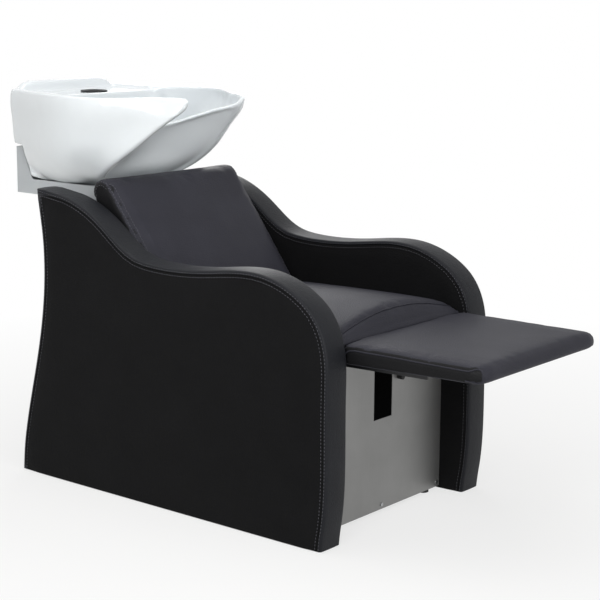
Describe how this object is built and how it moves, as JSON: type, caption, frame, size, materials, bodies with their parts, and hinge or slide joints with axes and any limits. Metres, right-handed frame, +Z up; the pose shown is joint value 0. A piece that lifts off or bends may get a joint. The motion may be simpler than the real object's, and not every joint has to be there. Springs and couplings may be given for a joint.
{
  "type": "hair washing bed",
  "caption": "Seated hair washing unit with padded S-curved side panels, reclined back, folding leg rest and a tilting horned ceramic basin behind the head.",
  "frame": {"origin": "on the floor, under the middle of the part's box with the leg rest out", "axes": "+Z up, +Y from the leg rest to the basin, +X to the sitter's left"},
  "size_m": [0.66, 1.5836, 1.022],
  "materials": {
    "panel_board": "bare hollow board frame, hidden",
    "panel_cover": "grained black leatherette over thin foam",
    "panel_band": "grained black leatherette with double stitched edges",
    "upholstery": "grained black leatherette, semi-matt",
    "plywood": "stained board",
    "frame_steel": "satin black paint",
    "sheet_steel": "satin grey, faint brushing",
    "linkage_steel": "satin grey paint",
    "bright_steel": "zinc plated",
    "spring_tube": "satin black paint",
    "spring_shaft": "polished chrome",
    "ceramic": "white gloss glaze",
    "housing_sheet": "light grey satin paint",
    "plumbing_plastic": "moulded grey plastic",
    "rubber": "matt black",
    "glide_plastic": "matt black"
  },
  "bodies": {
    "base": {"right_panel_core": "panel_board", "left_panel_core": "panel_board", "right_panel_outer_facing": "panel_cover", "right_panel_inner_facing": "panel_cover", "left_panel_outer_facing": "panel_cover", "left_panel_inner_facing": "panel_cover", "right_panel_edge_band": "panel_band", "left_panel_edge_band": "panel_band", "seat_cushion": "upholstery", "back_cushion": "upholstery", "seat_board": "plywood", "back_board": "plywood", "rear_access_panel": "plywood", "chassis_frame": "frame_steel", "back_brackets": "frame_steel", "gas_spring_bracket": "frame_steel", "leg_rest_hinge_brackets": "frame_steel", "front_panel": "sheet_steel", "basin_tilt_ears": "linkage_steel", "leg_rest_hinge_rod": "bright_steel", "gas_spring_base_pin": "bright_steel", "basin_tilt_pin": "bright_steel", "front_panel_screws": "bright_steel", "rear_panel_screws": "bright_steel", "basin_support_housing": "housing_sheet", "leg_rest_buffer": "rubber", "levelling_feet": "rubber", "basin_rest_stops": "rubber", "floor_glides": "glide_plastic"},
    "leg_rest": {"leg_rest_pad": "upholstery", "leg_rest_board": "plywood", "leg_rest_hinge_arms": "linkage_steel", "leg_rest_levers": "linkage_steel", "leg_rest_bolts": "bright_steel"},
    "gas_spring_barrel_body": {"gas_spring_barrel": "spring_tube"},
    "gas_spring_rod_body": {"gas_spring_rod": "spring_shaft"},
    "basin_body": {"basin": "ceramic", "basin_tilt_cradle": "linkage_steel", "drain_strainer": "spring_shaft", "waste_pipe": "plumbing_plastic", "waste_nut": "plumbing_plastic"}
  },
  "joints": [
    {"name": "leg_rest_hinge", "type": "hinge", "parent": "base", "child": "leg_rest", "pos_m": [0, -0.3875, 0.455], "axis": [1, 0, 0], "range_deg": [0, 86]},
    {"name": "gas_spring_pivot", "type": "hinge", "parent": "base", "child": "gas_spring_barrel_body", "pos_m": [0, -0.1175, 0.405], "axis": [1, 0, 0], "range_deg": [0, 3]},
    {"name": "gas_spring_slide", "type": "slide", "parent": "gas_spring_barrel_body", "child": "gas_spring_rod_body", "axis": [0, -0.9999, 0.0127], "range_m": [-0.0855, 0]},
    {"name": "basin_tilt", "type": "hinge", "parent": "base", "child": "basin_body", "pos_m": [0, 0.7625, 0.838], "axis": [1, 0, 0], "range_deg": [-12, 0]}
  ],
  "couplings": [
    {"joint": "gas_spring_pivot", "follows": "leg_rest_hinge", "ratio": 0.03},
    {"joint": "gas_spring_slide", "follows": "leg_rest_hinge", "m_per_rad": -0.05625}
  ]
}
